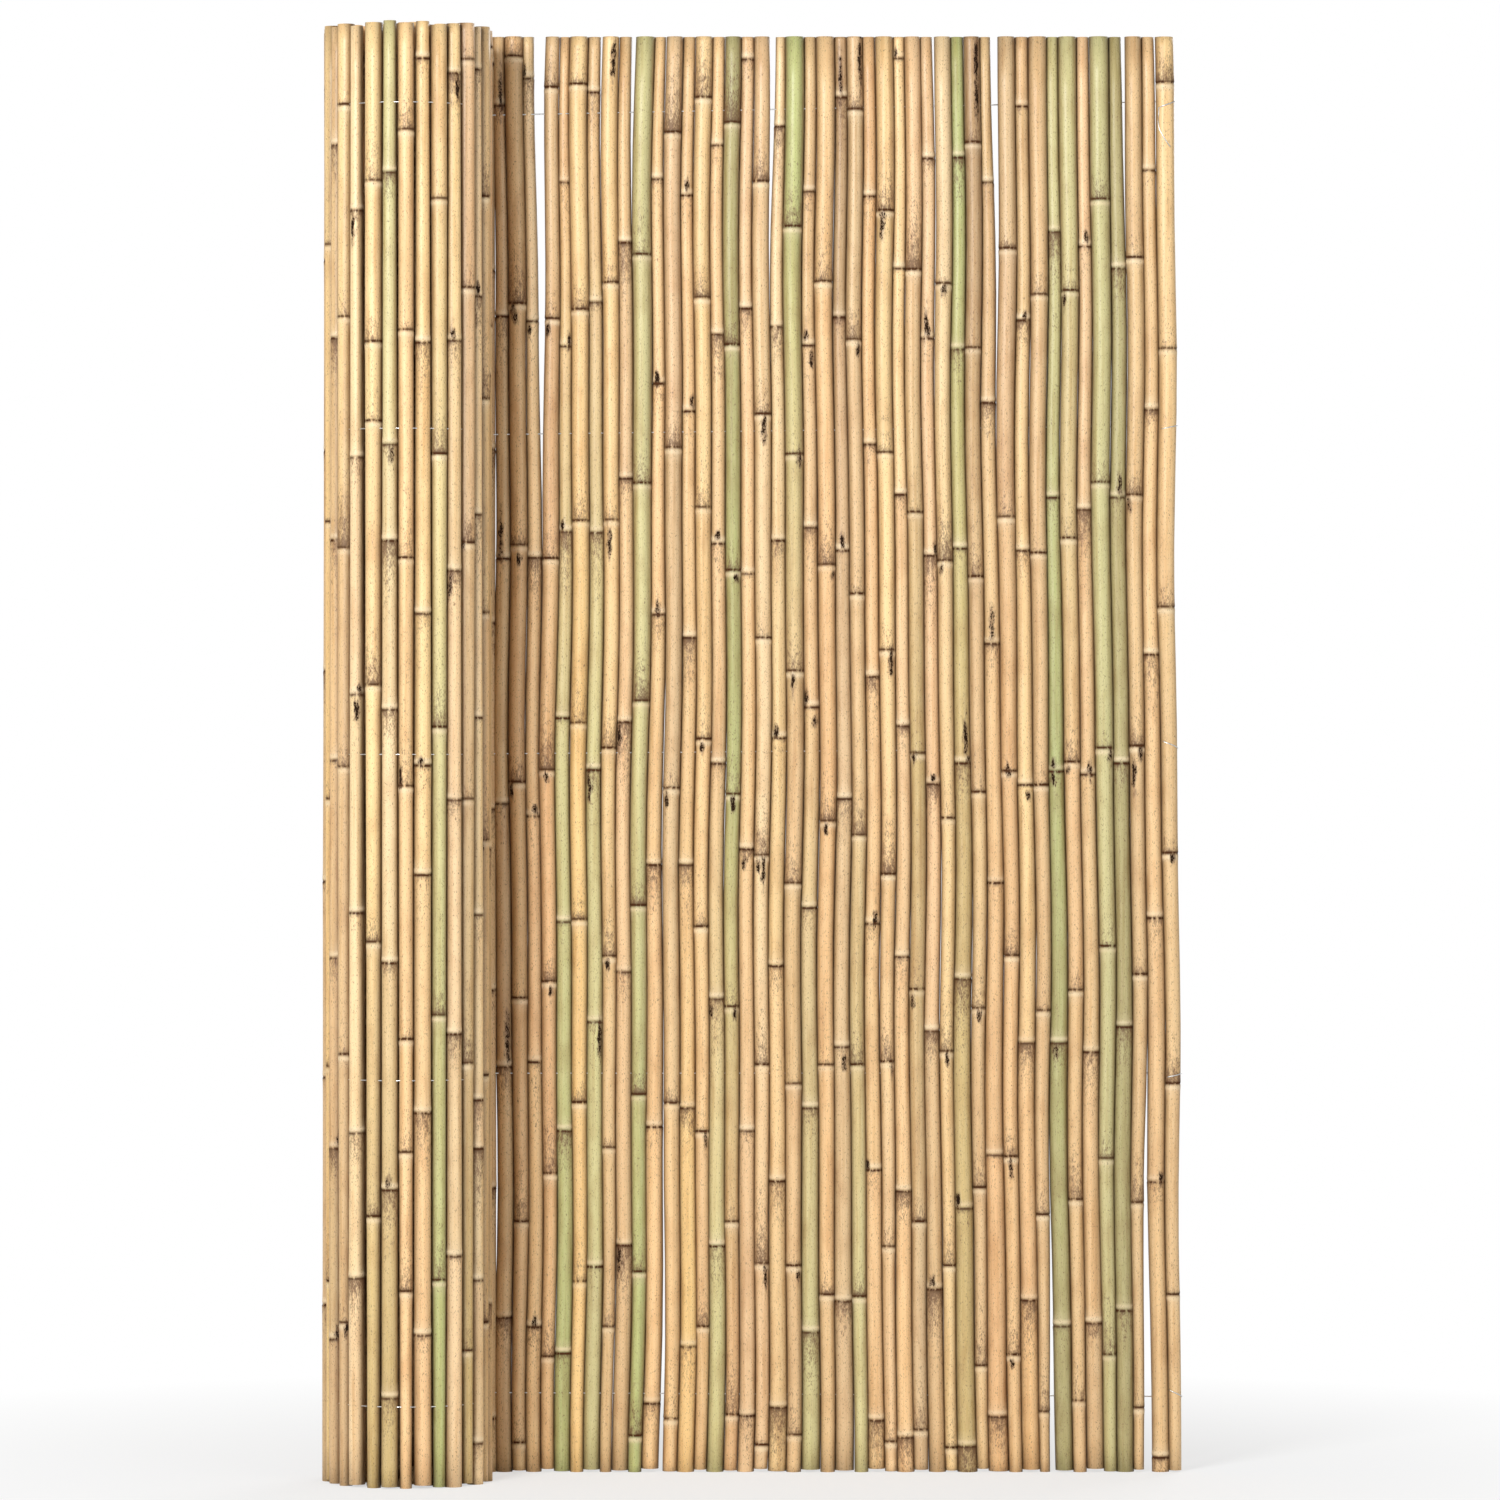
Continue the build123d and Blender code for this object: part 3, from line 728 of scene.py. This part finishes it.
class FENCE_OT_wires(bpy.types.Operator):
    """Builds the binding wires: round the roll, through the open canes and round the end cane"""

    bl_idname = "fence.wires"
    bl_label = "Binding wires"

    def execute(self, context):
        s = context.scene.fence_wires
        material = wire_material()
        end_rings = culms_of("cane_44")[0]
        outer = wound_canes()["roll_turn_1"]
        rows = sorted(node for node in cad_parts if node.startswith("binding_wire"))
        for node in rows:
            solid = np.array([v.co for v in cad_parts[node].data.vertices], float)
            centre = [np.interp(solid[:, 2].mean(), end_rings[:, 0], end_rings[:, k]) for k in (1, 2, 3)]
            wrapped = solid[np.hypot(solid[:, 0] - centre[0], solid[:, 1] - centre[1]) > centre[2] * 1.001]
            wrapped = wrapped[wrapped[:, 0] > centre[0] - centre[2] * 1.3]
            angles = np.arctan2(wrapped[:, 1] - centre[1], wrapped[:, 0] - centre[0])
            last = wrapped[angles < angles.min() + 0.1].mean(axis=0)
            first = wrapped[angles > angles.max() - 0.1].mean(axis=0)
            run = solid[np.abs(solid[:, 1] - centre[1]) < s.diameter * 2]
            run = run[run[:, 0] > end_rings[0][1] - 1.2]
            start = run[run[:, 0] < run[:, 0].min() + 1e-4].mean(axis=0)
            way = []
            for rings in outer[::-1]:
                way.append([np.interp(start[2], rings[:, 0], rings[:, k]) for k in (1, 2)] + [start[2]])
            way.append(start)
            way = [(x, y - s.forward, z) for x, y, z in way]
            centre[0] += float(sway(centre[0], first[2]))
            reach = centre[2] + s.diameter * 1.2
            way.append((centre[0] + reach * 0.9, centre[1], first[2]))
            wrap = []
            for share in np.linspace(0, 1, 14):
                fall = (last[2] - first[2]) * max(share - 0.15, 0) / 0.85
                wrap.append((0.1 - share * 2.5, first[2] + fall))
            if node == rows[0]:
                wrap += [(turn, wrap[-1][1] - drop) for turn, drop in TOP_TAIL]
            for turn, z in wrap:
                way.append((centre[0] + reach * math.cos(turn), centre[1] + reach * math.sin(turn), z))
            points, faces = tube(way, s.diameter / 2)
            mesh = bpy.data.meshes.new(f"round_{node}")
            mesh.from_pydata(points, [], faces)
            mesh.polygons.foreach_set("use_smooth", [len(face) == 4 for face in faces])
            mesh.materials.append(material)
            piece = bpy.data.objects.new(f"round_{node}", mesh)
            context.scene.collection.objects.link(piece)
            dress(piece, node)
        return {"FINISHED"}


class FENCE_OT_studio(bpy.types.Operator):
    """Builds the floor, the light and the camera"""

    bl_idname = "fence.studio"
    bl_label = "Studio"

    def execute(self, context):
        s = context.scene.fence_studio
        scene = context.scene
        scene.view_settings.view_transform = "Standard"
        end = sum(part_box("cane_44"), Vector()) / 2
        camera = bpy.data.cameras.new("camera")
        camera.sensor_width = 36
        camera.lens = 36 * s.distance / s.picture_width
        camera.clip_end = 100
        eye = bpy.data.objects.new("camera", camera)
        eye.location = (-0.0062, end.y - s.distance, s.eye_height)
        eye.rotation_euler = (math.pi / 2, 0, 0)
        scene.collection.objects.link(eye)
        scene.camera = eye

        mesh = bpy.data.meshes.new("floor")
        mesh.from_pydata([(-30, -30, 0), (30, -30, 0), (30, 30, 0), (-30, 30, 0)], [], [(0, 1, 2, 3)])
        floor = bpy.data.objects.new("floor", mesh)
        scene.collection.objects.link(floor)
        n = Nodes("floor")
        n.shader.inputs["Base Color"].default_value = (*s.floor_colour, 1)
        n.shader.inputs["Roughness"].default_value = 0.9
        white = n.add("ShaderNodeEmission", {"Color": (1, 1, 1, 1), "Strength": 1.0})
        ground = n.add("ShaderNodeTexCoord").outputs["Object"]
        away = n.add("ShaderNodeVectorMath", {0: ground}, operation="LENGTH").outputs["Value"]
        limits = {"Value": away, "From Min": 0.5, "From Max": 1.6, "To Min": s.glow}
        share = n.add("ShaderNodeMapRange", limits)
        path = n.add("ShaderNodeLightPath").outputs
        seen = n.maths("MAXIMUM", path["Is Camera Ray"], path["Is Transmission Ray"])
        both = n.add("ShaderNodeMixShader", {0: n.maths("MULTIPLY", seen, share.outputs["Result"])})
        n.feed(both.inputs[1], n.shader.outputs[0])
        n.feed(both.inputs[2], white.outputs[0])
        n.feed(n.tree.nodes["Material Output"].inputs["Surface"], both.outputs[0])
        mesh.materials.append(n.material)

        world = bpy.data.worlds.new("studio")
        scene.world = world
        world.use_nodes = True
        tree = world.node_tree
        back = tree.nodes["Background"]
        back.inputs["Color"].default_value = (1, 1, 1, 1)
        path = tree.nodes.new("ShaderNodeLightPath")
        seen = tree.nodes.new("ShaderNodeMath")
        seen.operation = "MAXIMUM"
        tree.links.new(path.outputs["Is Camera Ray"], seen.inputs[0])
        tree.links.new(path.outputs["Is Transmission Ray"], seen.inputs[1])
        level = tree.nodes.new("ShaderNodeMapRange")
        level.inputs["To Min"].default_value = s.ambient
        level.inputs["To Max"].default_value = 1.0
        tree.links.new(seen.outputs[0], level.inputs["Value"])
        tree.links.new(level.outputs["Result"], back.inputs["Strength"])

        for name, place, size, power in (
            ("key", (-2.4, -5.0, 3.0), 1.6, s.key_power), ("fill", (3.4, -4.6, 2.0), 3.0, s.fill_power),
            ("rear", (2.5, 5.0, 3.5), 3.0, s.rear_power),
        ):
            lamp = bpy.data.lights.new(name, "AREA")
            lamp.size = size
            lamp.energy = power
            light = bpy.data.objects.new(name, lamp)
            light.location = place
            light.rotation_euler = (Vector((0, 0, 0.9)) - Vector(place)).to_track_quat("-Z", "Y").to_euler()
            scene.collection.objects.link(light)
        return {"FINISHED"}


class FENCE_PT_panel(bpy.types.Panel):
    """Lists the fence's settings and the steps that build it"""

    bl_idname = "FENCE_PT_panel"
    bl_label = "Rolled bamboo fence"
    bl_space_type = "VIEW_3D"
    bl_region_type = "UI"
    bl_category = "Fence"

    def draw(self, context):
        for group in (context.scene.fence_canes, context.scene.fence_wires, context.scene.fence_studio):
            box = self.layout.box()
            for name in group.__annotations__:
                box.prop(group, name)
        for step in STEPS:
            self.layout.operator(step.bl_idname)


STEPS = (FENCE_OT_open_canes, FENCE_OT_hidden_canes, FENCE_OT_roll, FENCE_OT_wires, FENCE_OT_studio)
CLASSES = (CaneSettings, WireSettings, StudioSettings) + STEPS + (FENCE_PT_panel,)


def register():
    for cls in CLASSES:
        bpy.utils.register_class(cls)
    bpy.types.Scene.fence_canes = bpy.props.PointerProperty(type=CaneSettings)
    bpy.types.Scene.fence_wires = bpy.props.PointerProperty(type=WireSettings)
    bpy.types.Scene.fence_studio = bpy.props.PointerProperty(type=StudioSettings)


def unregister():
    del bpy.types.Scene.fence_studio
    del bpy.types.Scene.fence_wires
    del bpy.types.Scene.fence_canes
    for cls in reversed(CLASSES):
        bpy.utils.unregister_class(cls)


def main():
    register()
    bpy.ops.fence.open_canes()
    bpy.ops.fence.hidden_canes()
    bpy.ops.fence.roll()
    bpy.ops.fence.wires()
    bpy.ops.fence.studio()


if __name__ == "__main__":
    main()
